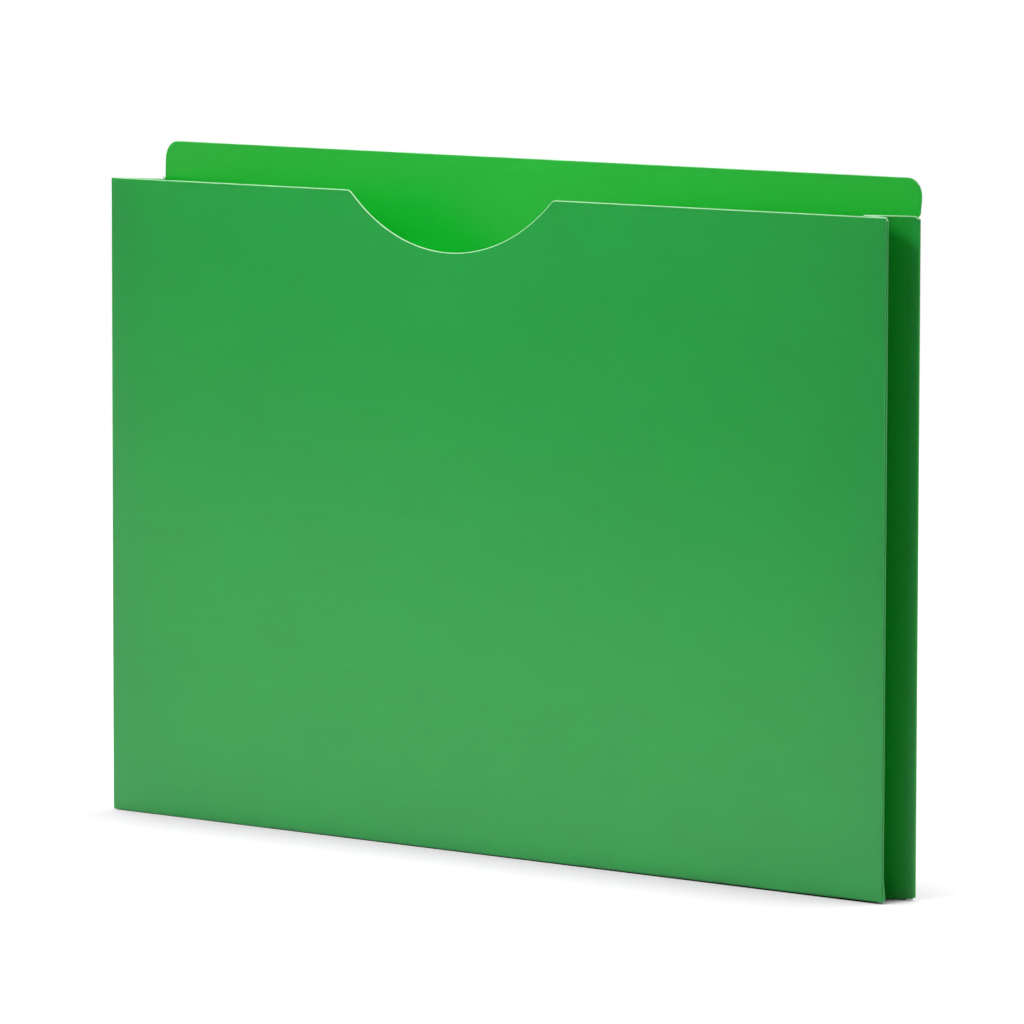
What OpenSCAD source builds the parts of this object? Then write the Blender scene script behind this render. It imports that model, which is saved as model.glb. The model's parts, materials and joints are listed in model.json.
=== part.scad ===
// File jacket: an upright pocket of polypropylene sheet with three folding gussets.
// The back panel carries a full-width tab, and the front panel has a thumb cut.
// Each gusset is two leaves that fold inwards, so the front panel moves straight
// to and from the back panel. +X is the width, +Y the back, +Z up, and the origin
// is on the floor at the middle of the jacket.

/* [Panels] */
// Width of the jacket over its side folds
jacket_w = 374.65; // [280:0.05:450]
// Height of the front panel
front_h = 228.6; // [160:0.1:320]
// Height of the tab above the front panel
tab_h = 12.7; // [9:0.1:30]
// Thickness of the polypropylene sheet
sheet_t = 0.5; // [0.3:0.05:0.8]
// Corner radius of the tab
tab_corner_r = 6; // [1:0.5:8]
// Distance of the tab's ends from the outside of the side folds
tab_inset = 0.8; // [0.2:0.1:4]
// Radius of the small corners left by the cutting die
die_corner_r = 0.8; // [0.3:0.1:2]
// Corner radius at the foot of the side folds
foot_corner_r = 4; // [1:0.5:8]

/* [Thumb cut] */
// Width of the thumb cut at the front panel's top edge
thumb_w = 99; // [60:1:140]
// Depth of the thumb cut
thumb_depth = 20; // [10:0.5:30]
// Middle of the thumb cut, measured from the middle of the panel
thumb_x = -16; // [-60:1:60]
// Radius of the lips at the ends of the thumb cut
thumb_lip_r = 3; // [0.5:0.5:6]

/* [Gussets] */
// Width of one gusset leaf, from fold to fold
leaf_w = 19.05; // [12:0.05:30]
// Angle between each leaf and its panel at rest
rest_angle = 22.5; // [5:0.5:75]
// Height of the side leaves' lower edges above the floor
leaf_lift = 0.4; // [0.2:0.1:3]
// Corner radius of a side leaf at the top of its fold
leaf_corner_r = 1.2; // [0.3:0.1:4]
// Gap between the ends of the bottom gusset and the side gussets
bottom_end_gap = 2; // [0.5:0.5:10]
// Running clearance round each fold
fold_clear = 0.03; // [0.01:0.01:0.1]

/* [Weld flaps] */
// Width of a weld flap, measured from its fold
flap_w = 12.7; // [8:0.1:16]
// Distance of a weld flap's ends from the ends of its fold
flap_end_inset = 4; // [1:0.5:12]
// Length over which a weld flap's ends taper
flap_taper = 6; // [1:0.5:12]

/* [Hidden] */
$fn = 96;

// Colours of the outside, the inside and the folds
outside_green = [0.21, 0.63, 0.31];
inside_green = [0.16, 0.68, 0.20];
fold_green = [0.30, 0.70, 0.38];

// A fold is a bead of one sheet thickness round the line where two faces meet,
// so it stays tangent to the outer faces of both sheets at any angle.
fold_r = sheet_t;
groove_r = fold_r + fold_clear;

// Depth between the outer folds of one gusset, and over the whole jacket
gusset_depth = 2 * (leaf_w * sin(rest_angle) + sheet_t * cos(rest_angle));
jacket_d = gusset_depth + 3 * sheet_t;

// Inner faces of the two panels
front_inner_y = -jacket_d / 2 + sheet_t;
back_inner_y = jacket_d / 2 - sheet_t;

// Side folds: the rear one on the back panel, the front one on the weld flap
side_fold_x = jacket_w / 2 - fold_r;
side_rear_y = back_inner_y;
side_front_y = front_inner_y + sheet_t;
side_middle_y = (side_rear_y + side_front_y) / 2;

// How far a leaf reaches along its panel, from its outer fold to its centre fold
leaf_reach = leaf_w * cos(rest_angle) - sheet_t * sin(rest_angle);

// Bottom folds: the front one on the front panel, the rear one on the weld flap
bottom_fold_z = fold_r;
bottom_front_y = front_inner_y;
bottom_rear_y = back_inner_y - sheet_t;
bottom_middle_y = (bottom_front_y + bottom_rear_y) / 2;

// The bottom gusset ends short of the side gussets when they lie flat
bottom_half = side_fold_x - leaf_w - fold_r - bottom_end_gap;

// Heights of the side leaves and of their folds
leaf_low_z = leaf_lift;
leaf_high_z = front_h;
outer_fold_low_z = leaf_low_z + foot_corner_r;
outer_fold_high_z = leaf_high_z - leaf_corner_r;
inner_fold_low_z = leaf_low_z + die_corner_r;
inner_fold_high_z = leaf_high_z - die_corner_r;

// Arc of the thumb cut, and the centres and touching points of its lips
thumb_r = (thumb_w * thumb_w / 4 + thumb_depth * thumb_depth) / (2 * thumb_depth);
thumb_centre_z = front_h + thumb_r - thumb_depth;
lip_reach = thumb_r + thumb_lip_r;
lip_drop = thumb_r - thumb_depth + thumb_lip_r;
lip_x = sqrt(lip_reach * lip_reach - lip_drop * lip_drop);
lip_touch_x = lip_x * thumb_r / lip_reach;
lip_touch_z = thumb_centre_z - lip_drop * thumb_r / lip_reach;

// Extra length of cutting shapes beyond the faces that they cut
over = 1;

// Flat outline from one corner to the other, with its four corners rounded:
// radii are lower left, lower right, upper right and upper left
module rounded_outline(low, high, radii) {
    centres = [
        [low.x + radii[0], low.y + radii[0]],
        [high.x - radii[1], low.y + radii[1]],
        [high.x - radii[2], high.y - radii[2]],
        [low.x + radii[3], high.y - radii[3]]
    ];
    polygon([
        [centres[0].x, low.y], [centres[1].x, low.y],
        [high.x, centres[1].y], [high.x, centres[2].y],
        [centres[2].x, high.y], [centres[3].x, high.y],
        [low.x, centres[3].y], [low.x, centres[0].y]
    ]);
    for (i = [0 : 3]) translate(centres[i]) circle(r = radii[i]);
}

// Upright sheet of an outline in X and Z, with its front face at y
module upright_sheet(y) {
    translate([0, y + sheet_t, 0]) rotate([90, 0, 0]) linear_extrude(sheet_t) children();
}

// Round bar along Z, for a side fold or its groove
module bar_z(x, y, low, high, r) {
    translate([x, y, low]) cylinder(r = r, h = high - low);
}

// Round bar along X across the middle, for a bottom fold or its groove
module bar_x(y, z, half, r) {
    translate([-half, y, z]) rotate([0, 90, 0]) cylinder(r = r, h = 2 * half);
}

// Leaf in its own frame: x runs from its panel fold to its centre fold, y through the sheet
module leaf_sheet(low, high, radii) {
    difference() {
        upright_sheet(0) rounded_outline([0, low], [leaf_w, high], radii);
        bar_z(0, 0, low - over, high + over, groove_r);
        bar_z(leaf_w, sheet_t, low - over, high + over, groove_r);
    }
}

// Leaf on the right of the back panel, turned to its rest angle about the rear fold
module side_rear_leaf() {
    radii = [foot_corner_r, die_corner_r, die_corner_r, leaf_corner_r];
    translate([side_fold_x, side_rear_y, 0]) rotate([0, 0, 180 + rest_angle])
        leaf_sheet(leaf_low_z, leaf_high_z, radii);
}

// Leaf behind the front panel, a mirror image of the rear one
module side_front_leaf() {
    translate([0, 2 * side_middle_y, 0]) mirror([0, 1, 0]) side_rear_leaf();
}

// Leaf that rises from the foot of the front panel
module rising_leaf() {
    translate([0, bottom_front_y, bottom_fold_z])
        rotate([-rest_angle, 0, 0])
            rotate([0, -90, 0])
                leaf_sheet(-bottom_half, bottom_half, [for (i = [0 : 3]) die_corner_r]);
}

// Fold down the right edge, at the back panel or at the front weld flap
module side_outer_fold(y) {
    bar_z(side_fold_x, y, outer_fold_low_z, outer_fold_high_z, fold_r);
}

// Fold between the two leaves of the right gusset
module side_centre_fold() {
    bar_z(side_fold_x - leaf_reach, side_middle_y, inner_fold_low_z, inner_fold_high_z, fold_r);
}

// Outline of a flap with tapered ends, from its fold line at x = 0 towards +x
module flap_outline(low, high) {
    polygon([
        [0, low + flap_end_inset], [flap_w, low + flap_end_inset + flap_taper],
        [flap_w, high - flap_end_inset - flap_taper], [0, high - flap_end_inset]
    ]);
}

// Flap of the right gusset, welded to the inside of the front panel
module side_flap() {
    difference() {
        upright_sheet(front_inner_y) translate([side_fold_x, 0])
            mirror([1, 0]) flap_outline(outer_fold_low_z, outer_fold_high_z);
        bar_z(side_fold_x, side_front_y, leaf_low_z, leaf_high_z, groove_r);
    }
}

// Back panel, with the tab cut in one piece with it
module back_panel() {
    panel_half = side_fold_x;
    tab_half = jacket_w / 2 - tab_inset;
    foot = [foot_corner_r, foot_corner_r, die_corner_r, die_corner_r];
    tab = [die_corner_r, die_corner_r, tab_corner_r, tab_corner_r];
    color(inside_green) difference() {
        upright_sheet(back_inner_y) union() {
            rounded_outline([-panel_half, 0], [panel_half, front_h], foot);
            rounded_outline([-tab_half, front_h - die_corner_r], [tab_half, front_h + tab_h], tab);
        }
        for (side = [-1, 1])
            bar_z(side * side_fold_x, side_rear_y, outer_fold_low_z, outer_fold_high_z, groove_r);
    }
}

// Piece cut out of the front panel's top edge for a thumb
module thumb_outline() {
    translate([thumb_x, 0]) difference() {
        union() {
            translate([0, thumb_centre_z]) circle(r = thumb_r);
            polygon([
                [-lip_x, front_h + over], [-lip_x, front_h], [-lip_touch_x, lip_touch_z],
                [lip_touch_x, lip_touch_z], [lip_x, front_h], [lip_x, front_h + over]
            ]);
        }
        for (side = [-1, 1])
            translate([side * lip_x, front_h - thumb_lip_r]) circle(r = thumb_lip_r);
    }
}

// Front panel, with its foot cut back along the bottom fold
module front_panel() {
    slot_half = bottom_half + fold_clear;
    color(outside_green) difference() {
        upright_sheet(-jacket_d / 2) difference() {
            rounded_outline([-jacket_w / 2, 0], [jacket_w / 2, front_h],
                [for (i = [0 : 3]) die_corner_r]);
            thumb_outline();
            translate([-slot_half, -over]) square([2 * slot_half, bottom_fold_z + over]);
        }
        bar_x(bottom_front_y, bottom_fold_z, slot_half, groove_r);
    }
}

module right_rear_leaf() {
    color(outside_green) side_rear_leaf();
}

module right_front_leaf() {
    color(outside_green) side_front_leaf();
}

module left_rear_leaf() {
    color(outside_green) mirror([1, 0, 0]) side_rear_leaf();
}

module left_front_leaf() {
    color(outside_green) mirror([1, 0, 0]) side_front_leaf();
}

module bottom_front_leaf() {
    color(outside_green) rising_leaf();
}

module bottom_rear_leaf() {
    color(outside_green) translate([0, 2 * bottom_middle_y, 0]) mirror([0, 1, 0]) rising_leaf();
}

module right_rear_fold() {
    color(fold_green) side_outer_fold(side_rear_y);
}

module right_centre_fold() {
    color(fold_green) side_centre_fold();
}

module right_front_fold() {
    color(fold_green) side_outer_fold(side_front_y);
}

module left_rear_fold() {
    color(fold_green) mirror([1, 0, 0]) side_outer_fold(side_rear_y);
}

module left_centre_fold() {
    color(fold_green) mirror([1, 0, 0]) side_centre_fold();
}

module left_front_fold() {
    color(fold_green) mirror([1, 0, 0]) side_outer_fold(side_front_y);
}

module bottom_front_fold() {
    color(fold_green) bar_x(bottom_front_y, bottom_fold_z, bottom_half, fold_r);
}

module bottom_centre_fold() {
    color(fold_green)
        bar_x(bottom_middle_y, bottom_fold_z + leaf_reach, bottom_half - die_corner_r, fold_r);
}

module bottom_rear_fold() {
    color(fold_green) bar_x(bottom_rear_y, bottom_fold_z, bottom_half, fold_r);
}

module right_weld_flap() {
    color(inside_green) side_flap();
}

module left_weld_flap() {
    color(inside_green) mirror([1, 0, 0]) side_flap();
}

// Flap of the bottom gusset, welded to the inside of the back panel
module bottom_weld_flap() {
    color(inside_green) difference() {
        upright_sheet(back_inner_y - sheet_t) translate([0, bottom_fold_z])
            rotate(90) flap_outline(-bottom_half, bottom_half);
        bar_x(bottom_rear_y, bottom_fold_z, bottom_half, groove_r);
    }
}

back_panel();
front_panel();
right_rear_leaf();
right_front_leaf();
left_rear_leaf();
left_front_leaf();
bottom_rear_leaf();
bottom_front_leaf();
right_rear_fold();
right_centre_fold();
right_front_fold();
left_rear_fold();
left_centre_fold();
left_front_fold();
bottom_rear_fold();
bottom_centre_fold();
bottom_front_fold();
right_weld_flap();
left_weld_flap();
bottom_weld_flap();
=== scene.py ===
# %% [markdown]
# # A file jacket, sheet by sheet
# A file jacket is an upright pocket of green polypropylene sheet. A tall back panel with a tab and a
# lower front panel with a thumb cut are joined by three gussets, and each gusset is two leaves that fold
# inwards. This lesson builds the sheets over a finished construction model, which gives nearly every
# size. We load that model first. It stays fixed, and each sheet made here stands for one of its pieces.

# %% Load the construction
import json
import math

import bmesh
import bpy
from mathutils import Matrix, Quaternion, Vector


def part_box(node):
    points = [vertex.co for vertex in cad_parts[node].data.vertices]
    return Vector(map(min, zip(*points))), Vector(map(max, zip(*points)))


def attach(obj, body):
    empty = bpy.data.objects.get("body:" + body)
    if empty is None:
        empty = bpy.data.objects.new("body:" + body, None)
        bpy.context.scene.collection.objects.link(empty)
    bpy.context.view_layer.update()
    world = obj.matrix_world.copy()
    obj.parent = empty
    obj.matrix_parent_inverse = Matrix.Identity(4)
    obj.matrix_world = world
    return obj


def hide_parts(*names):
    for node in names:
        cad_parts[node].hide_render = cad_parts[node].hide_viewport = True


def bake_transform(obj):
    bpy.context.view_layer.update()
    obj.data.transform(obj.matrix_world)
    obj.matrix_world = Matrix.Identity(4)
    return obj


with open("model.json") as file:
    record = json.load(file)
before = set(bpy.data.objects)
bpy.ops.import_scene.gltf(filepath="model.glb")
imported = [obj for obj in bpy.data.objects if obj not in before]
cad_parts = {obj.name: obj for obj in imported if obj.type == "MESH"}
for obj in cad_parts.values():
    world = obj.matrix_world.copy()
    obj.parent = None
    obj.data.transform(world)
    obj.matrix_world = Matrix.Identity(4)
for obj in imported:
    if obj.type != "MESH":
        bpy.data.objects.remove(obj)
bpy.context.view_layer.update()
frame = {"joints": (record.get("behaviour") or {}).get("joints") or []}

MM = 0.001

# %% [markdown]
# ## Sizes
# Nearly every size can be read from the construction: the sheet's thickness is the front panel's depth,
# and each fold line is a hinge or the middle of a fold's box. They could be typed in again, but then a
# change to the construction would leave the sheets behind. What a box doesn't tell, such as the small
# rounds left by the cutting die, is written down in the cell that first needs it.

# %% Read the sizes
front_low, front_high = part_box("front_panel")
back_low, back_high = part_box("back_panel")
hinges = {joint["name"]: Vector(joint["pos_m"]) for joint in frame["joints"]}

SHEET = front_high.y - front_low.y
HALF_WIDTH = front_high.x
FRONT_HEIGHT = front_high.z
TAB_TOP = back_high.z
print("sheet, mm:", round(SHEET / MM, 3))
print("front, mm:", round(2 * HALF_WIDTH / MM, 2), "by", round(FRONT_HEIGHT / MM, 2))

# %% [markdown]
# ## The camera
# The photograph was taken with a long lens from the front right, a little above the jacket. The place,
# aim and lens were worked out from where the panels' corners lie in the picture. A nearer camera with a
# short lens could show the same faces, but a long lens far away keeps the upright edges almost parallel,
# as they are in the photograph, so the distance has to be right as well as the angle.

# %% Place the camera
IMAGE_SIDE = 1024
FOCAL_PIXELS = 8895
SENSOR = 36
# In metres, past the far end of the floor.
FARTHEST = 60
CAMERA_PLACE = Vector((2152.9, -2191.5, 379.7)) * MM
CAMERA_AIM = Vector((14.4, -8.5, 120.35)) * MM
CAMERA_ROLL = math.radians(0.22)

camera_data = bpy.data.cameras.new("camera")
camera_data.sensor_width = SENSOR
camera_data.lens = FOCAL_PIXELS / IMAGE_SIDE * SENSOR
camera_data.clip_end = FARTHEST
camera = bpy.data.objects.new("camera", camera_data)
bpy.context.scene.collection.objects.link(camera)
bpy.context.scene.camera = camera
camera.rotation_mode = "QUATERNION"
camera.location = CAMERA_PLACE
roll = Quaternion((0, 0, 1), CAMERA_ROLL)
camera.rotation_quaternion = (CAMERA_AIM - CAMERA_PLACE).to_track_quat("-Z", "Y") @ roll
print("lens, mm:", round(camera_data.lens, 1))

# %% [markdown]
# ## A sheet with a cut edge
# Every piece of the jacket is a thin sheet, so one function builds them all. It takes the points of the
# two faces as grids and closes them with a rim. A flat cube with a bevel could stand for a straight
# panel, but it could not follow the thumb cut or a crease. Every cut edge is a little pale where the
# plastic is crushed. Edges that look up are rounded more and take a much paler copy of that material, a
# painted highlight of the light from above. The others are hardly rounded and take a darker copy,
# painted shade. Where a sheet runs on into its neighbour there is no cut, so the rim stays flat there and
# keeps the sheet's own finish.

# %% Points along the rim of a sheet
EDGE_ROUND = 0.28 * MM
SQUARE_ROUND = 0.1 * MM
# Kinds of rim: no cut, a cut edge that faces sideways and takes painted shade, and one that looks up and
# takes a painted highlight.
NO_CUT, SIDEWAYS_CUT, UPWARD_CUT = 0, 1, 2
BULGES = {NO_CUT: 0, SIDEWAYS_CUT: SQUARE_ROUND, UPWARD_CUT: EDGE_ROUND}
# An edge looks up when its way out rises by more than this share.
LOOKS_UP = 0.6
# Places of the rim's rings, as shares of the sheet's thickness.
RIM_STEPS = (0.15, 0.5, 0.85)


def border(columns, rows):
    """Grid places along the outline, once round."""
    low = [(i, 0) for i in range(columns)]
    end = [(columns - 1, j) for j in range(1, rows)]
    high = [(i, rows - 1) for i in range(columns - 2, -1, -1)]
    start = [(0, j) for j in range(rows - 2, 0, -1)]
    return low + end + high + start


def outward_ways(face_a, face_b, loop):
    """The way out of the sheet at each place of its outline."""
    middles = [(face_a[i][j] + face_b[i][j]) / 2 for i, j in loop]
    centre = sum(middles, Vector()) / len(middles)
    ways = []
    for k, (i, j) in enumerate(loop):
        tangent = middles[(k + 1) % len(loop)] - middles[k - 1]
        ways.append(tangent.cross(face_a[i][j] - face_b[i][j]).normalized())
    hand = math.copysign(1, sum(way.dot(middle - centre) for way, middle in zip(ways, middles)))
    return [way * hand for way in ways]


def rim_rings(face_a, face_b, loop, runs_on):
    """Rings of points round the edge from one face to the other, and the kind of edge at each place."""
    rings = [[] for _ in RIM_STEPS]
    kinds = []
    for (i, j), outward in zip(loop, outward_ways(face_a, face_b, loop)):
        # An edge that looks up gets the pale of the crushed cut with a painted highlight, the others a darker
        # copy with painted shade.
        kind = NO_CUT if runs_on(i, j) else UPWARD_CUT if outward.z > LOOKS_UP else SIDEWAYS_CUT
        kinds.append(kind)
        for ring, step in zip(rings, RIM_STEPS):
            across = face_a[i][j].lerp(face_b[i][j], step)
            ring.append(across + outward * BULGES[kind] * math.sin(math.pi * step))
    return rings, kinds


print("a grid of 4 by 3 points has", len(border(4, 3)), "points on its rim")

# %% Build a sheet from its two faces
SHARP_BEND = math.radians(50)


def fill_sheet(mesh, face_a, face_b, runs_on):
    """Both faces, with material number 0, and the rim, whose material number is its kind of edge."""
    columns, rows = len(face_a), len(face_a[0])
    loop = border(columns, rows)
    rings, kinds = rim_rings(face_a, face_b, loop, runs_on)
    grid_a = [[mesh.verts.new(point) for point in column] for column in face_a]
    grid_b = [[mesh.verts.new(point) for point in column] for column in face_b]
    rim = [[grid_a[i][j] for i, j in loop]]
    rim += [[mesh.verts.new(point) for point in ring] for ring in rings]
    rim += [[grid_b[i][j] for i, j in loop]]
    for i in range(columns - 1):
        for j in range(rows - 1):
            corners = [(i, j), (i + 1, j), (i + 1, j + 1), (i, j + 1)]
            mesh.faces.new([grid_a[a][b] for a, b in corners])
            mesh.faces.new([grid_b[a][b] for a, b in reversed(corners)])
    for inner, outer in zip(rim, rim[1:]):
        for k in range(len(loop)):
            after = (k + 1) % len(loop)
            face = mesh.faces.new([inner[k], outer[k], outer[after], inner[after]])
            face.material_index = min(kinds[k], kinds[after])


def sheet_piece(name, face_a, face_b, runs_on):
    """A closed sheet that shades smoothly, but for its sharp bends."""
    mesh = bmesh.new()
    fill_sheet(mesh, face_a, face_b, runs_on)
    bmesh.ops.recalc_face_normals(mesh, faces=mesh.faces)
    for face in mesh.faces:
        face.smooth = True
    for edge in mesh.edges:
        edge.smooth = edge.calc_face_angle(0) < SHARP_BEND
    data = bpy.data.meshes.new(name)
    mesh.to_mesh(data)
    mesh.free()
    piece = bpy.data.objects.new(name, data)
    bpy.context.scene.collection.objects.link(piece)
    print(name, "has", len(data.polygons), "polygons")
    return piece


# %% [markdown]
# ## How the sheets settle
# Thin plastic is never quite flat. The photograph shows the front panel bellied a little forward. Its
# left edge spreads outwards and turns back, its right edge is drawn in, and its foot curls in over the
# bottom crease, with the right end of the foot flared and just off the floor. The back panel leans away
# at its upper left, where the left gusset stands wider. A cloth simulation would give some such shape,
# but not this one. Here each is a small function of the place on the sheet, so that neighbouring pieces
# bend alike and their seams stay shut.

# %% Soft steps
def clamp(value):
    """The value, kept between 0 and 1."""
    return min(1, max(0, value))


def ease(value):
    """A step from 0 to 1 that starts and ends gently."""
    value = clamp(value)
    return value * value * (3 - 2 * value)


print("ease at a quarter of the way:", ease(0.25))

# %% Let the front panel settle
FRONT_BELLY = 0.9 * MM
FRONT_SPREAD = 1.2 * MM
FRONT_DRAWN_IN = 0.45 * MM
# The turned edge starts at this share of the half width.
EDGE_TURN, EDGE_TURN_FROM = 0.4 * MM, 0.96
FOOT_CURL_LEFT, FOOT_CURL_RIGHT, FOOT_CURL_HEIGHT = 0.2 * MM, 0.6 * MM, 4.5 * MM
FOOT_LIFT_LEFT, FOOT_LIFT_RIGHT, FOOT_LIFT_HEIGHT = 0.02 * MM, 0.45 * MM, 12 * MM
FOOT_FLARE = 1.0 * MM


def settle_front(point, share=1):
    """The front panel and what is welded to it. Share fades it out along a gusset leaf."""
    across = point.x / HALF_WIDTH
    height = clamp(point.z / FRONT_HEIGHT)
    right = clamp((1 + across) / 2)
    foot = clamp(1 - point.z / FOOT_CURL_HEIGHT) ** 2
    belly = FRONT_BELLY * clamp(1 - across ** 2) * math.sin(math.pi * height)
    curl = (FOOT_CURL_LEFT + (FOOT_CURL_RIGHT - FOOT_CURL_LEFT) * right) * foot
    turn = EDGE_TURN * clamp((-across - EDGE_TURN_FROM) / (1 - EDGE_TURN_FROM)) ** 2
    aside = FOOT_FLARE * clamp(across) ** 3 * foot - FRONT_DRAWN_IN * clamp(across)
    aside -= FRONT_SPREAD * clamp(-across) * height
    rise = FOOT_LIFT_LEFT + (FOOT_LIFT_RIGHT - FOOT_LIFT_LEFT) * right
    rise *= 1 - ease(point.z / FOOT_LIFT_HEIGHT)
    return point + share * Vector((aside, curl + turn - belly, rise))


front_middle = Vector((0, 0, FRONT_HEIGHT / 2))
print("belly at the middle, mm:", round((front_middle - settle_front(front_middle)).y / MM, 2))

# %% Let the back panel settle
BACK_LEAN = 9.1 * MM


def settle_back(point, share=1):
    """The back panel and what is welded to it."""
    lean = BACK_LEAN * clamp((1 - point.x / HALF_WIDTH) / 2) * clamp(point.z / TAB_TOP)
    return point + share * Vector((0, lean, 0))


upper_left = Vector((-HALF_WIDTH, 0, TAB_TOP))
print("lean at the upper left corner, mm:", round((settle_back(upper_left) - upper_left).y / MM, 1))

# %% [markdown]
# ## The front panel
# The front panel is a rectangle with small die-cut corners and a shallow round thumb cut, left of the
# middle, that runs out into the top edge in two soft lips. A boolean cut would leave long thin
# triangles that shade badly. Here the panel is woven from upright columns instead, and each column
# ends where the outline is, so the cut edge is a clean row of points.

# %% The thumb cut
THUMB_WIDTH = 99 * MM
THUMB_DEPTH = 20 * MM
THUMB_X = -16 * MM
THUMB_LIP = 3 * MM
thumb_radius = (THUMB_WIDTH ** 2 / 4 + THUMB_DEPTH ** 2) / (2 * THUMB_DEPTH)
lip_x = math.sqrt((thumb_radius + THUMB_LIP) ** 2 - (thumb_radius - THUMB_DEPTH + THUMB_LIP) ** 2)
lip_touch = lip_x * thumb_radius / (thumb_radius + THUMB_LIP)


def thumb_dip(x):
    """Depth of the thumb cut below the top edge."""
    off = abs(x - THUMB_X)
    if off >= lip_x:
        return 0
    if off >= lip_touch:
        return THUMB_LIP - math.sqrt(THUMB_LIP ** 2 - (lip_x - off) ** 2)
    return THUMB_DEPTH - thumb_radius + math.sqrt(thumb_radius ** 2 - off ** 2)


print("thumb cut with its lips, mm:", round(2 * lip_x / MM, 1), "by", round(thumb_dip(THUMB_X) / MM, 1))

# %% Lower and upper edge of the front panel
BOTTOM_HALF = round(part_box("bottom_front_fold")[1].x, 9)
DIE_CORNER = 0.3 * MM
PANEL_TAIL = 0.9 * MM
PANEL_SIDE = HALF_WIDTH - EDGE_ROUND
bottom_front = hinges["bottom_front_hinge"]


def corner_rise(radius, distance):
    """How far a rounded corner stands back, at a distance from its side."""
    return radius - math.sqrt(radius ** 2 - max(0, radius - max(0, distance)) ** 2)


def front_low_edge(x):
    """Above the bottom crease where that runs, and near the floor beside it."""
    if abs(x) <= BOTTOM_HALF:
        return bottom_front.z + PANEL_TAIL
    return corner_rise(DIE_CORNER, PANEL_SIDE - abs(x)) + EDGE_ROUND


def front_high_edge(x):
    corner = corner_rise(DIE_CORNER, PANEL_SIDE - abs(x))
    return FRONT_HEIGHT - EDGE_ROUND - corner - thumb_dip(x)


print("height at the thumb cut, mm:", round((front_high_edge(THUMB_X) + EDGE_ROUND) / MM, 1))

# %% Places for rows and columns
BAND = 0.3 * MM


def span(start, end, count):
    """Evenly spaced places from start to end."""
    return [start + (end - start) * k / count for k in range(count + 1)]


def corner_steps(radius, count):
    """Distances from a side, closer together where a rounded corner is steep."""
    return [radius * (1 - math.cos(math.pi / 2 * k / count)) for k in range(count + 1)]


def in_order(places):
    """Sorted places, with those that agree to a nanometre only once."""
    return sorted({round(place, 9) for place in places})


def heights(low, high, steps):
    """Heights of one column: a narrow band at each cut edge and the given shares in between."""
    return [low, *(low + BAND + (high - low - 2 * BAND) * step for step in steps), high]


print("a round corner of 1 in 3 steps:", [round(step, 2) for step in corner_steps(1, 3)])

# %% Columns of the front panel
COLUMN_GAP = 3 * MM
# Beside the bottom crease the lower edge steps down within a slit this wide.
SLIT = 0.05 * MM
# The lowest twentieth of the height gets closer rows, because the foot curls there.
FOOT_SHARE = 0.05
slit = BOTTOM_HALF + SLIT
front_columns = [sign * (PANEL_SIDE - step) for sign in (-1, 1) for step in corner_steps(DIE_CORNER, 5)]
front_columns += [sign * edge for sign in (-1, 1) for edge in (BOTTOM_HALF, slit)]
front_columns += [THUMB_X + sign * off for sign in (-1, 1) for off in span(lip_touch, lip_x, 6)]
front_columns += span(THUMB_X - lip_touch, THUMB_X + lip_touch, 48)
stretches = [(-PANEL_SIDE, -BOTTOM_HALF, 2), (-BOTTOM_HALF, THUMB_X - lip_x, 12)]
stretches += [(THUMB_X + lip_x, BOTTOM_HALF, 16), (slit, PANEL_SIDE, 2)]
for start, end, count in stretches:
    front_columns += span(start + COLUMN_GAP, end - COLUMN_GAP, count)
front_columns = in_order(front_columns)
front_steps = in_order(span(0, FOOT_SHARE, 12) + span(FOOT_SHARE, 1, 26))
print("front panel:", len(front_columns), "columns and", len(front_steps) + 2, "rows")


# %% Weave the front panel
def front_face(y):
    return [[settle_front(Vector((x, y, z)))
             for z in heights(front_low_edge(x), front_high_edge(x), front_steps)]
            for x in front_columns]


def runs_into_bottom_fold(i, j):
    return j == 0 and abs(front_columns[i]) <= BOTTOM_HALF


faces = front_face(front_low.y), front_face(front_high.y)
front_panel = sheet_piece("front_sheet", *faces, runs_into_bottom_fold)

# %% [markdown]
# ## The back panel
# The back panel is higher than the front and ends in a plain tab with round corners. It could be woven
# from columns too, but its outline is easiest to give as a half-width at each height, so it is woven from
# level rows: a shallow rise at the foot, a straight side where the gusset crease begins, then the tab.
# In the photograph the tab's right end flares out a little above the crease, so its rows reach further.

# %% Outline of the back panel
TAB_INSET = 0.8 * MM
TAB_CORNER = 6 * MM
TAB_EDGE = TAB_TOP - EDGE_ROUND
FOOT_RISE, FOOT_RUN = 0.7 * MM, 4.5 * MM
FOLD_TOP_BEVEL = 0.9 * MM
TAB_STEP_LOW, TAB_STEP_HIGH = FRONT_HEIGHT - FOLD_TOP_BEVEL, FRONT_HEIGHT + 0.6 * MM
side_fold = hinges["right_rear_hinge"].x


def tab_share(z):
    """0 at the panel's folded side and 1 on the tab."""
    return ease((z - TAB_STEP_LOW) / (TAB_STEP_HIGH - TAB_STEP_LOW))


def back_half_width(z):
    foot = FOOT_RUN * (1 - math.sqrt(clamp(z / FOOT_RISE)))
    folded = side_fold - max(PANEL_TAIL, foot)
    tab = HALF_WIDTH - TAB_INSET - EDGE_ROUND - corner_rise(TAB_CORNER, TAB_EDGE - z)
    return folded + (tab - folded) * tab_share(z)


print("half width, mm:", [round(back_half_width(z) / MM, 2) for z in (0, FRONT_HEIGHT / 2, TAB_EDGE)])

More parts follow.
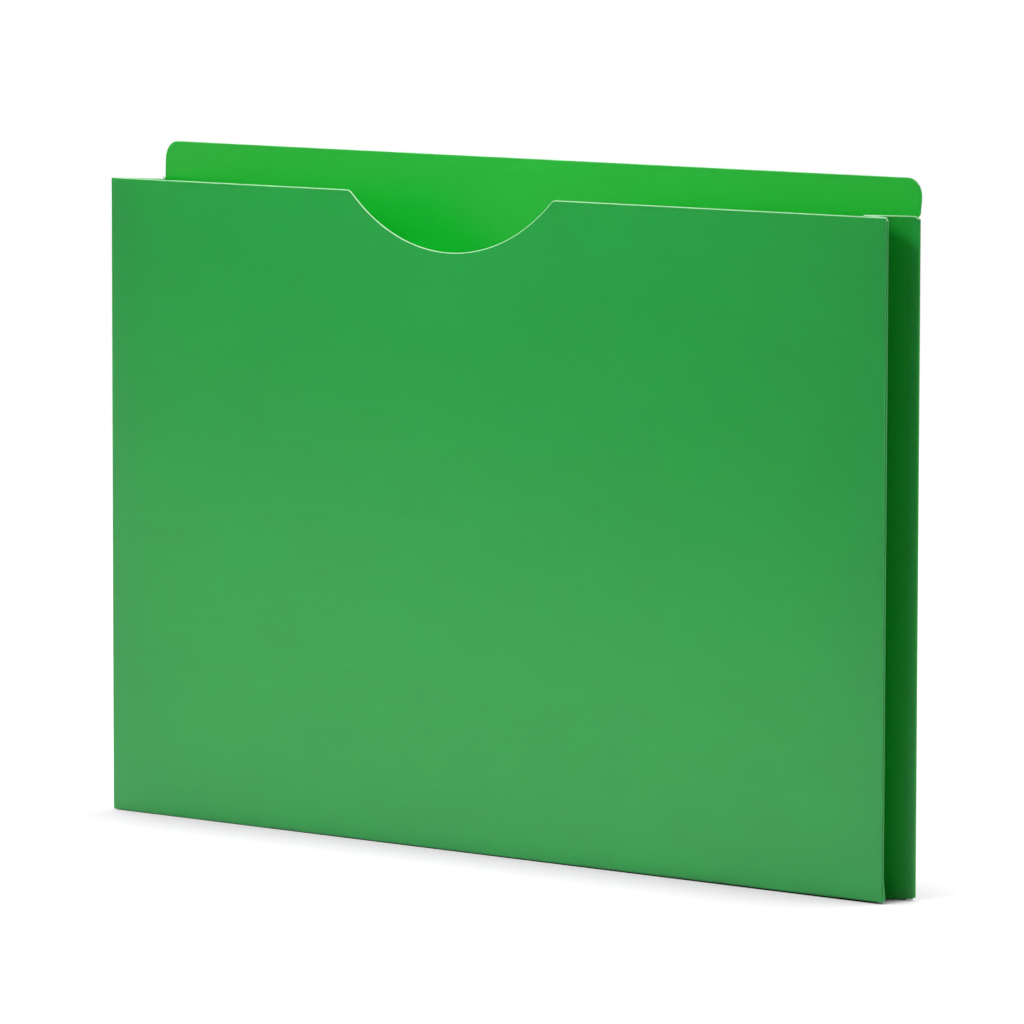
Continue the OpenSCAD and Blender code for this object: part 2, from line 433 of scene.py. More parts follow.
# %% Rows of the back panel
FOOT_ROWS_MM = (0, 0.1, 0.2, 0.3, 0.4, 0.7, 1.5, 3, 6)
EVEN_ROWS_FROM = 10 * MM
back_rows = [back_low.z + EDGE_ROUND + row * MM for row in FOOT_ROWS_MM]
back_rows += span(EVEN_ROWS_FROM, TAB_STEP_LOW, 22)
back_rows += span(TAB_STEP_LOW, TAB_STEP_HIGH, 5)
back_rows += span(TAB_STEP_HIGH, TAB_EDGE - TAB_CORNER, 4)
back_rows += [TAB_EDGE - step for step in corner_steps(TAB_CORNER, 12)]
back_rows = in_order(back_rows)
back_steps = span(0, 1, 44)
print("back panel:", len(back_rows), "rows and", len(back_steps) + 2, "columns")

# %% Weave the back panel
TAB_SHIFT = 0.8 * MM
TAB_FLARE, TAB_FLARE_HEIGHT = 0.6 * MM, 6.5 * MM
CREASE_TOP = TAB_STEP_LOW + 0.3 * MM


def back_row(z, y):
    """One level row of the back panel, with the flare at its right end."""
    half = back_half_width(z)
    flare = TAB_SHIFT * tab_share(z) + TAB_FLARE * ease((z - FRONT_HEIGHT) / TAB_FLARE_HEIGHT)
    places = heights(-half, half, back_steps)
    return [settle_back(Vector((x + flare * clamp(x / HALF_WIDTH), y, z))) for x in places]


def back_face(y):
    rows = [back_row(z, y) for z in back_rows]
    return [list(column) for column in zip(*rows)]


def runs_into_side_fold(i, j):
    return i in (0, len(back_steps) + 1) and FOOT_RISE < back_rows[j] < CREASE_TOP


faces = back_face(back_high.y), back_face(back_low.y)
back_panel = sheet_piece("back_sheet", *faces, runs_into_side_fold)

# %% [markdown]
# ## Gusset leaves in plan
# Each gusset is a V of two leaves. Cut across, a leaf is a straight line from its outer fold to the
# centre fold, half a millimetre thick, with the centre fold on the face that looks into the V. Each leaf
# could be modelled where it stands, but side gussets drawn in plan and the bottom gusset drawn in side
# view are the same drawing. So all leaves share it, and two small functions carry it up or along.

# %% Flat drawing of a leaf
def turned(vector, angle):
    c, s = math.cos(angle), math.sin(angle)
    return Vector((c * vector.x - s * vector.y, s * vector.x + c * vector.y))


class Leaf:
    """One leaf's flat drawing: its outer fold, the way along it to the centre fold, and the way through
    the sheet to its outer face."""

    def __init__(self, fold, centre, hand):
        chord = centre - fold
        self.fold, self.centre = fold, centre
        self.width = math.sqrt(chord.length_squared - SHEET ** 2)
        self.along = turned(chord.normalized(), -hand * math.atan2(SHEET, self.width))
        self.through = hand * turned(self.along, math.pi / 2)

    def share(self, distance):
        return clamp(1 - distance / self.width)

    def inner(self, distance):
        return self.fold + self.along * distance

    def outer(self, distance):
        return self.inner(distance) + self.through * SHEET


print("a quarter turn of", (1, 0), "is", [round(c, 3) for c in turned(Vector((1, 0)), math.pi / 2)])


# %% Draw the six leaves
def in_plan(point):
    return point.xy


def in_side_view(point):
    return point.yz


def flat_leaf(hinge, centre_node, hand, plane):
    low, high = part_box(centre_node)
    return Leaf(plane(hinges[hinge]), plane((low + high) / 2), hand)


leaves = {
    "right_rear": flat_leaf("right_rear_hinge", "right_centre_fold", 1, in_plan),
    "right_front": flat_leaf("right_front_hinge", "right_centre_fold", -1, in_plan),
    "left_rear": flat_leaf("left_rear_hinge", "left_centre_fold", -1, in_plan),
    "left_front": flat_leaf("left_front_hinge", "left_centre_fold", 1, in_plan),
    "bottom_rear": flat_leaf("bottom_rear_hinge", "bottom_centre_fold", 1, in_side_view),
    "bottom_front": flat_leaf("bottom_front_hinge", "bottom_centre_fold", -1, in_side_view),
}
for name, leaf in leaves.items():
    print(name, "leaf, mm:", round(leaf.width / MM, 2), "outward", [round(c, 3) for c in leaf.through])

# %% [markdown]
# ## Creases
# A crease is where the sheet was pressed thin along a line, so that it bends there and nowhere else. It
# has a round outside, a sharp inside and a short flat tail on either side. A plain cylinder along the
# fold would hide the bend but show a seam when the gusset moves.

# %% Lines of a crease
LEAF_TAIL = 2.8 * MM
ARC_STEPS = 12
CREASE_ROOT = 0.06 * MM


def crease_lines(fold, first, first_out, first_tail, second, second_out):
    """Outer line, inner line and signed distance from the fold, from the first tail round to the second."""
    cross = first_out.x * second_out.y - first_out.y * second_out.x
    sweep = math.atan2(cross, first_out.dot(second_out))
    ways = [turned(first_out, sweep * k / ARC_STEPS) for k in range(ARC_STEPS + 1)]
    tails = [(-first_tail, first * first_tail, first_out)]
    tails += [(0, Vector((0, 0)), way) for way in ways]
    tails += [(reach, second * reach, second_out) for reach in (LEAF_TAIL / 2, LEAF_TAIL)]
    outer = [fold + reach + way * SHEET for _, reach, way in tails]
    inner = [fold + reach + way * (CREASE_ROOT if distance == 0 else 0) for distance, reach, way in tails]
    return outer, inner, [distance for distance, _, _ in tails]


print("a crease has", ARC_STEPS + 4, "lines on either face")

# %% Carry a crease along its fold
STRIP_ROWS = 30


def upright(flat, z):
    return Vector((flat.x, flat.y, z))


def lying(flat, x):
    return Vector((x, flat.x, flat.y))


def strip_piece(name, lines, ends, place, settle, cut_ends=True):
    """Carries a crease's lines along the fold. Its two long sides run on into the neighbouring sheets."""
    outer, inner, distances = lines

    def column(flat, distance):
        steps = heights(*ends(distance), span(0, 1, STRIP_ROWS))
        return [settle(place(flat, step), distance) for step in steps]

    def face(line):
        return [column(flat, distance) for flat, distance in zip(line, distances)]

    def runs_on(i, j):
        return not cut_ends or (i in (0, len(distances) - 1) and 0 < j < STRIP_ROWS + 2)

    return sheet_piece(name, face(outer), face(inner), runs_on)


print("a crease has", STRIP_ROWS + 3, "rows along its fold")

# %% [markdown]
# ## Side gussets
# The side gussets belong to the back sheet: its crease, two leaves and a narrow flap that is welded
# inside the front panel. The rear fold's lower end rises a little off the floor and its upper end is cut
# at a slant, as the die leaves them, and each leaf ends at the same two cuts. The ends could be trimmed
# off long strips afterwards. It is simpler to give the lower and upper end at each distance from the fold.

# %% Ends of the side gussets
LEAF_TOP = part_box("right_rear_leaf")[1].z
LEAF_FOOT = 0.05 * MM
FLAP_TAPER = 6 * MM
flap_low, flap_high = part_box("right_weld_flap")
FLAP_WIDTH = flap_high.x - flap_low.x


def side_leaf_ends(distance):
    low = LEAF_FOOT + EDGE_ROUND + FOOT_RISE * clamp(1 - distance / FOOT_RUN) ** 2
    high = LEAF_TOP - EDGE_ROUND - max(0, FOLD_TOP_BEVEL - distance)
    return low, high


def side_flap_ends(distance):
    taper = FLAP_TAPER * distance / FLAP_WIDTH
    return flap_low.z + EDGE_ROUND + taper, flap_high.z - EDGE_ROUND - taper


def rear_fold_ends(distance):
    return side_leaf_ends(abs(distance))


def front_fold_ends(distance):
    return side_flap_ends(-distance) if distance < 0 else side_leaf_ends(distance)


print("rear fold from and to, mm:", [round(end / MM, 2) for end in rear_fold_ends(0)])

# %% [markdown]
# ## Side creases
# Each side gusset has a crease at the back panel and another at the flap inside the front panel. They
# could be one mesh with the leaf, but only a piece of its own can bend while the leaf stays stiff. Each
# moves with its settled panel at the fold, and that fades out along the leaf. What moves a panel in its
# own plane may only slide a leaf along, because a gusset that bulges could not close flat.

# %% Bend the side creases
BACKWARD, FORWARD = Vector((0, 1)), Vector((0, -1))


def leaf_settle(leaf, settle, place):
    """The panel's settling at the fold, fading out towards the centre fold, and sliding in its plane."""
    out = place(leaf.through, 0)

    def settled(point, distance):
        shift = settle(point, leaf.share(max(0, distance))) - point
        lifted = Vector((shift.x, 0, shift.z)).dot(out)
        return point + shift - out * lifted * ease(distance / LEAF_TAIL)

    return settled


fold_kinds = {
    "rear": (BACKWARD, PANEL_TAIL, rear_fold_ends, settle_back),
    "front": (FORWARD, LEAF_TAIL, front_fold_ends, settle_front),
}
side_folds = {}
for hand, inward in (("right", Vector((-1, 0))), ("left", Vector((1, 0)))):
    for row, (panel_out, tail, ends, settle) in fold_kinds.items():
        name = hand + "_" + row
        leaf = leaves[name]
        lines = crease_lines(leaf.fold, inward, panel_out, tail, leaf.along, leaf.through)
        settled = leaf_settle(leaf, settle, upright)
        side_folds[name] = strip_piece(name + "_crease", lines, ends, upright, settled)

# %% [markdown]
# ## Side leaves
# A leaf is the flat strip between its crease and the centre of the gusset. A thin box would do for a
# perfectly flat one, but a leaf follows the settled panel on one side and has the die's two cuts at its
# ends, so it is woven as the panels are. The right rear leaf is the one that shows in the photograph. It
# is bowed a little, which changes its tone softly from one side to the other.

# %% Weave the side leaves
LEAF_ROWS = 40
LEAF_BOW = 0.22 * MM


def leaf_piece(name, leaf, distances, ends, place, settle, bow=0):
    """A leaf between two creases, or between a crease and the bead at the centre."""

    def bowed(flat, distance):
        reach = (distance - distances[0]) / (distances[-1] - distances[0])
        return flat + leaf.through * bow * math.sin(math.pi * reach) ** 2

    def column(flat, distance):
        steps = heights(*ends(distance), span(0, 1, LEAF_ROWS))
        return [settle(place(bowed(flat, distance), step), distance) for step in steps]

    def face(line):
        return [column(line(distance), distance) for distance in distances]

    def runs_on(i, j):
        return i in (0, len(distances) - 1) and 0 < j < LEAF_ROWS + 2

    return sheet_piece(name, face(leaf.outer), face(leaf.inner), runs_on)


side_leaves = {}
for name in side_folds:
    leaf = leaves[name]
    distances = span(LEAF_TAIL, FOOT_RUN, 3) + span(FOOT_RUN, leaf.width, 12)[1:]
    settled = leaf_settle(leaf, settle_back if name.endswith("rear") else settle_front, upright)
    bow = LEAF_BOW if name == "right_rear" else 0
    side_leaves[name] = leaf_piece(name + "_sheet", leaf, distances, side_leaf_ends, upright, settled, bow)

# %% [markdown]
# ## Centre folds of the side gussets
# At the middle of a side gusset the two leaves meet in a third crease. It is the hinge that closes the
# ring of panels and leaves, so it can't follow one joint as the others do. A bent strip would tear there.
# A round bead, open on the side of the V, rides on the rear leaf instead, and the front leaf turns inside
# its opening.

# %% Beads at the centre folds
BEAD_OVERLAP = math.radians(25)
BEAD_SWEEP = math.radians(172)
BEAD_STEPS = 16
BEAD_WALL = 0.42 * MM
centre_low, centre_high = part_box("right_centre_fold")


def bead_ends(distance):
    return centre_low.z + EDGE_ROUND, centre_high.z - EDGE_ROUND


def as_drawn(point, distance):
    return point


beads = {}
for hand in ("right", "left"):
    rear, front = leaves[hand + "_rear"], leaves[hand + "_front"]
    first, second = -rear.through, -front.through
    turn = math.copysign(1, first.x * second.y - first.y * second.x)
    angles = span(-turn * BEAD_OVERLAP, turn * (BEAD_SWEEP - BEAD_OVERLAP), BEAD_STEPS)
    ways = [turned(first, angle) for angle in angles]
    outer = [rear.centre + way * SHEET for way in ways]
    inner = [rear.centre + way * (SHEET - BEAD_WALL) for way in ways]
    lines = outer, inner, [0] * len(ways)
    beads[hand] = strip_piece(hand + "_centre_bead", lines, bead_ends, upright, as_drawn)

# %% [markdown]
# ## Weld flaps
# Each gusset ends in a narrow flap, tapered at both ends, that is welded flat inside the opposite
# panel: the side flaps inside the front and the bottom flap inside the back. They could be left out of a
# picture from the front, but from above they show as a second layer of sheet along the inside of the
# panels. A hair's breadth is left between flap and panel, because two faces in one place flicker.

# %% Side flaps
WELD_GAP = 0.02 * MM


def flap_runs_on(i, j):
    return i == 0 and 0 < j < LEAF_ROWS + 2


def side_flap(hand, inward):
    fold = leaves[hand + "_front"].fold
    distances = span(LEAF_TAIL, FLAP_WIDTH - EDGE_ROUND, 6)

    def column(distance, y):
        steps = heights(*side_flap_ends(distance), span(0, 1, LEAF_ROWS))
        return [settle_front(Vector((fold.x + inward * distance, y, z))) for z in steps]

    def face(y):
        return [column(distance, y) for distance in distances]

    return sheet_piece(hand + "_flap_sheet", face(flap_low.y + WELD_GAP), face(flap_high.y), flap_runs_on)


side_flaps = {hand: side_flap(hand, inward) for hand, inward in (("right", -1), ("left", 1))}

# %% [markdown]
# ## The bottom gusset
# The bottom gusset belongs to the front sheet. It is drawn like a side gusset, turned on its side: a
# crease at the front panel's foot, two leaves, a crease between them, and a crease at the flap that is
# welded inside the back panel. All three creases are hinges here, so the centre one can be a bent strip
# too and needs no bead.

# %% Ends of the bottom gusset
bottom_flap_low, bottom_flap_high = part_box("bottom_weld_flap")
BOTTOM_FLAP_WIDTH = bottom_flap_high.z - leaves["bottom_rear"].fold.y


def bottom_ends(distance):
    return -BOTTOM_HALF + EDGE_ROUND, BOTTOM_HALF - EDGE_ROUND


def bottom_foot_ends(distance):
    return -BOTTOM_HALF, BOTTOM_HALF


def bottom_flap_ends(distance):
    taper = FLAP_TAPER * distance / BOTTOM_FLAP_WIDTH
    return bottom_flap_low.x + EDGE_ROUND + taper, bottom_flap_high.x - EDGE_ROUND - taper


def bottom_rear_ends(distance):
    return bottom_flap_ends(-distance) if distance < 0 else bottom_ends(distance)


print("bottom gusset, mm:", round(2 * BOTTOM_HALF / MM, 2), "flap, mm:", round(BOTTOM_FLAP_WIDTH / MM, 2))

# %% Bottom creases
UP = Vector((0, 1))
FRONT_OUT, REAR_OUT = Vector((-1, 0)), Vector((1, 0))
rear, front = leaves["bottom_rear"], leaves["bottom_front"]
bottom_folds = {}
lines = crease_lines(front.fold, UP, FRONT_OUT, PANEL_TAIL, front.along, front.through)
settled = leaf_settle(front, settle_front, lying)
bottom_folds["front"] = strip_piece(
    "bottom_front_crease", lines, bottom_foot_ends, lying, settled, cut_ends=False)
lines = crease_lines(rear.fold, UP, REAR_OUT, LEAF_TAIL, rear.along, rear.through)
settled = leaf_settle(rear, settle_back, lying)
bottom_folds["rear"] = strip_piece("bottom_rear_crease", lines, bottom_rear_ends, lying, settled)
lines = crease_lines(rear.centre, -rear.along, -rear.through, LEAF_TAIL, -front.along, -front.through)
bottom_folds["centre"] = strip_piece("bottom_centre_crease", lines, bottom_ends, lying, as_drawn)

# %% [markdown]
# ## Bottom leaves and flap
# Between the creases of the bottom gusset lie two long leaves, and behind them the flap stands up inside
# the back panel. Two plain boxes would fill the place, but the leaves show from above when the jacket is
# open, and they have to meet their creases without a step. So the functions of the side leaves serve
# again, with the drawing laid along the width instead of stood up.

# %% Weave the bottom leaves and flap
bottom_leaves = {}
for name, settle in (("bottom_rear", settle_back), ("bottom_front", settle_front)):
    leaf = leaves[name]
    distances = span(LEAF_TAIL, leaf.width - LEAF_TAIL, 8)
    settled = leaf_settle(leaf, settle, lying)
    bottom_leaves[name] = leaf_piece(name + "_sheet", leaf, distances, bottom_ends, lying, settled)

bottom_flap_rows = span(rear.fold.y + LEAF_TAIL, bottom_flap_high.z - EDGE_ROUND, 6)


def bottom_flap_face(y):
    return [[settle_back(Vector((x, y, z)))
             for x in heights(*bottom_flap_ends(z - rear.fold.y), span(0, 1, LEAF_ROWS))]
            for z in bottom_flap_rows]


faces = bottom_flap_face(bottom_flap_high.y - WELD_GAP), bottom_flap_face(bottom_flap_low.y)
bottom_flap = sheet_piece("bottom_flap_sheet", *faces, flap_runs_on)

# %% [markdown]
# ## Colours and nodes
# A material could be put together by hand in the shader editor, but a script gives the same one each
# time. Colours are written as sRGB hex values, as a paint program gives them, and one function turns them
# to the linear values that Cycles works with. A second function adds a shader node, sets it and links it.

# %% Helpers for materials
def linear(hex_colour):
    channels = [int(hex_colour[k:k + 2], 16) / 255 for k in (1, 3, 5)]
    return (*(c / 12.92 if c <= 0.04045 else ((c + 0.055) / 1.055) ** 2.4 for c in channels), 1)


def add_node(tree, kind, sockets=None, **settings):
    """Adds a node. A socket's value is a number, a colour or another node's output."""
    node = tree.nodes.new(kind)
    for setting, value in settings.items():
        setattr(node, setting, value)
    for socket, value in (sockets or {}).items():
        if isinstance(value, bpy.types.NodeSocket):
            tree.links.new(value, node.inputs[socket])
        else:
            node.inputs[socket].default_value = value
    return node


def new_material(name):
    material = bpy.data.materials.new(name)
    material.use_nodes = True
    material.node_tree.nodes.clear()
    return material


print("half grey, #808080, is linear", round(linear("#808080")[0], 3))

# %% [markdown]
# ## Polypropylene sheet
# The sheet is extruded polypropylene, dyed through and rolled to a fine satin grain. That gives the eye
# an even green with a soft veil of reflected room, faint streaks along the rolling direction, and a
# glow where light comes through from behind. Subsurface scattering could carry that glow, but in a sheet
# this thin a translucent shader does it with less noise. The veil is the rough reflection of a Principled
# shader, twice as strong as usual. The back sheet is the same plastic, but it gets a yellower green than
# the front one: the dye, with the yellower tone of light shining through its tab painted in.

# %% Extruded polypropylene, satin
PLASTIC_IOR = 1.49
VEIL = 1.0
GLOW_SHARE = 0.34
SATIN, SATIN_SPREAD = 0.38, 0.012
TONE_LOW, TONE_HIGH = 0.7, 1.3
# Rolling streaks run along the width, about 60 mm long and 4 mm apart.
STREAK_LENGTH, STREAK_GAP = 60 * MM, 4 * MM
# Cloudy dye, in patches of about 25 mm.
CLOUD = 25 * MM
# The rolled grain is about 0.1 mm, drawn at 0.7 mm so that it shows in the picture.
GRAIN, GRAIN_DEPTH, GRAIN_STRENGTH = 0.7 * MM, 0.02 * MM, 0.12


def polypropylene(name, base_tone, deep_tone, glow, satin):
    """Streaks and clouds together set the depth of the green and the gloss, and the grain dents the surface.
    """
    material = new_material(name)
    tree = material.node_tree
    place = add_node(tree, "ShaderNodeTexCoord").outputs["Object"]
    streak_scale = (1 / STREAK_LENGTH, 1 / STREAK_GAP, 1 / STREAK_GAP)
    along = add_node(tree, "ShaderNodeMapping", {"Vector": place, "Scale": streak_scale}).outputs[0]
    streaks = add_node(tree, "ShaderNodeTexNoise", {"Vector": along, "Scale": 1.0, "Detail": 3.0})
    clouds = add_node(tree, "ShaderNodeTexNoise", {"Vector": place, "Scale": 1 / CLOUD, "Detail": 2.0})
    grain = add_node(tree, "ShaderNodeTexNoise", {"Vector": place, "Scale": 1 / GRAIN, "Detail": 1.0})
    tone = add_node(tree, "ShaderNodeMath", {0: streaks.outputs[0], 1: clouds.outputs[0]}, operation="ADD")
    levels = {"Value": tone.outputs[0], "From Min": TONE_LOW, "From Max": TONE_HIGH}
    shade = add_node(tree, "ShaderNodeMapRange", levels)
    colour = add_node(
        tree, "ShaderNodeMix", {0: shade.outputs[0], 6: linear(deep_tone), 7: linear(base_tone)}, data_type="RGBA")
    glosses = {"To Min": satin - SATIN_SPREAD, "To Max": satin + SATIN_SPREAD}
    gloss = add_node(tree, "ShaderNodeMapRange", {**levels, **glosses})
    dents = add_node(
        tree, "ShaderNodeBump",
        {"Height": grain.outputs[0], "Strength": GRAIN_STRENGTH, "Distance": GRAIN_DEPTH})
    surface = add_node(
        tree, "ShaderNodeBsdfPrincipled",
        {"Base Color": colour.outputs[2], "Roughness": gloss.outputs[0], "IOR": PLASTIC_IOR,
         "Specular IOR Level": VEIL, "Normal": dents.outputs[0]})
    through = add_node(tree, "ShaderNodeBsdfTranslucent", {"Color": linear(glow)})
    shares = {0: GLOW_SHARE, 1: surface.outputs[0], 2: through.outputs[0]}
    both = add_node(tree, "ShaderNodeMixShader", shares)
    add_node(tree, "ShaderNodeOutputMaterial", {"Surface": both.outputs[0]})
    return material


front_finish = polypropylene("satin_polypropylene_front_sheet", "#04B14A", "#03AC47", "#12F200", SATIN)
# Both sheets have the same dye, but the back sheet's colours are made yellower: painted light, the tone that
# its backlit tab shows.
back_finish = polypropylene("satin_polypropylene_back_sheet", "#04AE38", "#03A936", "#12F200", SATIN)
print("made", front_finish.name, "and", back_finish.name)

# %% [markdown]
# ## Creased and cut polypropylene
# Where the sheet was pressed thin, its chains are drawn out and the dye looks a little paler. Where the
# sheet was cut, the plastic is crushed: tiny cracks scatter the light, so a cut edge is a little paler
# than the sheet. Edges that look up get a much paler copy of the edge material, which paints on them the
# highlight of the light from above. The others get a darker copy, which paints shade. One material with a
# painted mask could serve them all, but the rim of each sheet already knows its kind of edge, so three
# plain materials are simpler. All are the same plastic and differ in tone and gloss.

# %% Creased polypropylene and its cut edges
CREASE_SATIN = 0.36
CUT_ROUGHNESS = 0.5
# Crushed spots about 1.5 mm long along the cut.
SPOT, SPOT_DEPTH, SPOT_STRENGTH = 1.5 * MM, 0.03 * MM, 0.2


def cut_edge(name, base_tone, crushed):
    material = new_material(name)
    tree = material.node_tree
    place = add_node(tree, "ShaderNodeTexCoord").outputs["Object"]
    noise = add_node(tree, "ShaderNodeTexNoise", {"Vector": place, "Scale": 1 / SPOT, "Detail": 2.0})
    spots = noise.outputs[0]
    colour = add_node(tree, "ShaderNodeMix", {0: spots, 6: linear(base_tone), 7: linear(crushed)}, data_type="RGBA")
    dents = add_node(
        tree, "ShaderNodeBump", {"Height": spots, "Strength": SPOT_STRENGTH, "Distance": SPOT_DEPTH})
    surface = add_node(
        tree, "ShaderNodeBsdfPrincipled",
        {"Base Color": colour.outputs[2], "Roughness": CUT_ROUGHNESS, "IOR": PLASTIC_IOR,
         "Normal": dents.outputs[0]})
    add_node(tree, "ShaderNodeOutputMaterial", {"Surface": surface.outputs[0]})
    return material


crease_finish = polypropylene("creased_polypropylene", "#10B44F", "#0CAD49", "#1AF208", CREASE_SATIN)
# Two copies of the crushed cut edge: a darker one with painted shade for edges that face sideways, and a pale
# one with a painted highlight for edges that look up.
painted_shade_edge = cut_edge("crushed_polypropylene_edge_painted_shade", "#3AC864", "#5CD67E")
painted_highlight_edge = cut_edge("crushed_polypropylene_edge_painted_highlight", "#A0EEA6", "#DCFFDA")
print("made", crease_finish.name, painted_shade_edge.name, "and", painted_highlight_edge.name)

# %% [markdown]
# ## Fix sheets to the construction
# Most sheets now get their finish and take the place of their pieces of the construction. Panels,
# flaps, beads and all leaves but one ride on a single body.

# %% Sheets that ride on one body
def dress(piece, node, finish):
    for material in (finish, painted_shade_edge, painted_highlight_edge):
        piece.data.materials.append(material)
    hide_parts(node)


of_front_sheet = [(front_panel, "front_panel", "front"), (bottom_flap, "bottom_weld_flap", "back")]
of_front_sheet += [(piece, name + "_leaf", name + "_leaf") for name, piece in bottom_leaves.items()]
of_back_sheet = [(back_panel, "back_panel", "back")]
of_back_sheet += [
    (piece, name + "_leaf", name + "_leaf") for name, piece in side_leaves.items() if name != "left_rear"]
of_back_sheet += [(piece, hand + "_weld_flap", "front") for hand, piece in side_flaps.items()]
for finish, pieces in ((front_finish, of_front_sheet), (back_finish, of_back_sheet)):
    for piece, node, body in pieces:
        dress(piece, node, finish)
        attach(piece, body)
for hand, bead in beads.items():
    dress(bead, hand + "_centre_fold", crease_finish)
    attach(bead, hand + "_rear_leaf")
print(len(of_front_sheet + of_back_sheet) + len(beads), "sheets ride on one body")

# %% [markdown]
# ## Creases between two pieces
# A crease belongs to the panel with one side and to the leaf with the other. If it rode on one of them
# alone, it would tear away from the other when the jacket opens. Here each crease gets its finish, two
# points are worked out where a bend would start and end, on the outside of the one and on the outside of
# the other, and the crease's place is baked into its mesh. Nothing uses the two points, and the creases
# ride on no body.

# %% Finish the creases
def bend(piece, fold, first_out, second_out, place, level):
    start, end = (place(fold + out * SHEET, level) for out in (first_out, second_out))
    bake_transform(piece)


for name, piece in side_folds.items():
    dress(piece, name + "_fold", crease_finish)
for name, body, panel_out in (
        ("right_front", "front", FORWARD),
        ("right_rear", "back", BACKWARD),
        ("left_front", "front", FORWARD)):
    leaf = leaves[name]
    bend(side_folds[name], leaf.fold, panel_out, leaf.through, upright, FRONT_HEIGHT / 2)

for name, piece in bottom_folds.items():
    dress(piece, "bottom_" + name + "_fold", crease_finish)
rear, front = leaves["bottom_rear"], leaves["bottom_front"]
bend(bottom_folds["front"], front.fold, FRONT_OUT, front.through, lying, 0)
bend(bottom_folds["rear"], rear.fold, REAR_OUT, rear.through, lying, 0)
bend(bottom_folds["centre"], rear.centre, -rear.through, -front.through, lying, 0)
print("blended:", sorted(name for name in side_folds if name != "left_rear"), sorted(bottom_folds))

# %% [markdown]
# ## The left rear leaf
# The back panel leans away at the left, so the left rear leaf is stretched: one side of it follows the
# lean and the other meets the centre bead. On one body alone it would tear off at one side when the
# jacket moves. Here the leaf gets its finish, and two points a few millimetres apart are worked out past
# the crease's tail on the panel, where a blend would start and end. The places of the leaf and its crease
# are baked into their meshes. Nothing uses the two points, and neither piece rides on a body.

# %% Finish the left rear leaf and its crease
STRETCH_START = 1 * MM
STRETCH_END = 7 * MM
dress(side_leaves["left_rear"], "left_rear_leaf", back_finish)
left_fold = upright(leaves["left_rear"].fold, FRONT_HEIGHT / 2)
for piece in (side_leaves["left_rear"], side_folds["left_rear"]):
    start, end = (left_fold + Vector((reach, 0, 0)) for reach in (STRETCH_START, STRETCH_END))
    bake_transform(piece)
print("left rear leaf bends over, mm:", round((STRETCH_END - STRETCH_START) / MM, 1))

# %% [markdown]
# ## The floor
# The jacket stands on a white paper sweep. The paper takes the shadow, and ambient occlusion darkens it
# where the jacket shelters it, which gives the soft shade along the foot. A brighter lamp could make the
# paper white, but it would bleach the jacket as well. So a glow lifts it to white for camera, mirror and
# glass rays alone. The paper is a touch rosy, which takes back the green that the jacket throws on it.

# %% White for the eye alone
def seen_directly(tree, camera_share=1.0):
    """One for mirror and glass rays, a share for camera rays, zero for the light that falls on the object."""
    rays = add_node(tree, "ShaderNodeLightPath").outputs
    seen = add_node(tree, "ShaderNodeMath", {0: rays["Is Camera Ray"], 1: camera_share}, operation="MULTIPLY")
    for ray in ("Is Glossy Ray", "Is Transmission Ray"):
        seen = add_node(tree, "ShaderNodeMath", {0: seen.outputs[0], 1: rays[ray]}, operation="MAXIMUM")
    return seen.outputs[0]


WHITE = linear("#FFFFFF")
print("white, linear:", WHITE[:3])

# %% White paper
FLOOR_GLOW = 0.76
SHELTER_REACH, SHELTER_DARK, SHELTER_CLEAR = 70 * MM, 0.34, 1.0
SHELTER_POWER, SHELTER_SAMPLES = 0.35, 8
SHADED_PAPER, PAPER = "#221D22", "#CCC1CC"


def white_sweep():
    material = new_material("white_paper_sweep")
    tree = material.node_tree
    open_sky = add_node(
        tree, "ShaderNodeAmbientOcclusion", {"Distance": SHELTER_REACH}, samples=SHELTER_SAMPLES)
    clear = add_node(
        tree, "ShaderNodeMapRange",
        {"Value": open_sky.outputs["AO"], "From Min": SHELTER_DARK, "From Max": SHELTER_CLEAR})
    clear = add_node(tree, "ShaderNodeMath", {0: clear.outputs[0], 1: SHELTER_POWER}, operation="POWER")
    seen = seen_directly(tree, FLOOR_GLOW)
    glow = add_node(tree, "ShaderNodeMath", {0: seen, 1: clear.outputs[0]}, operation="MULTIPLY")
    tones = {0: clear.outputs[0], 6: linear(SHADED_PAPER), 7: linear(PAPER)}
    tone = add_node(tree, "ShaderNodeMix", tones, data_type="RGBA")
    paper = add_node(tree, "ShaderNodeBsdfDiffuse", {"Color": tone.outputs[2]})
    light = add_node(tree, "ShaderNodeEmission", {"Color": WHITE, "Strength": glow.outputs[0]})
    both = add_node(tree, "ShaderNodeAddShader", {0: paper.outputs[0], 1: light.outputs[0]})
    add_node(tree, "ShaderNodeOutputMaterial", {"Surface": both.outputs[0]})
    return material


floor_finish = white_sweep()
print("made", floor_finish.name)

# %% Lay the floor
# In metres: it reaches far to the left and behind, where the camera looks.
FLOOR_NEAR = 4.0
FLOOR_FAR = 24.0
floor_corners = [
    (-FLOOR_FAR, -FLOOR_NEAR, 0), (FLOOR_NEAR, -FLOOR_NEAR, 0),
    (FLOOR_NEAR, FLOOR_FAR, 0), (-FLOOR_FAR, FLOOR_FAR, 0)]
floor_data = bpy.data.meshes.new("floor")
floor_data.from_pydata(floor_corners, [], [(0, 1, 2, 3)])
floor_data.materials.append(floor_finish)
floor = bpy.data.objects.new("floor", floor_data)
bpy.context.scene.collection.objects.link(floor)
print("floor, m:", FLOOR_NEAR + FLOOR_FAR, "by", FLOOR_NEAR + FLOOR_FAR)

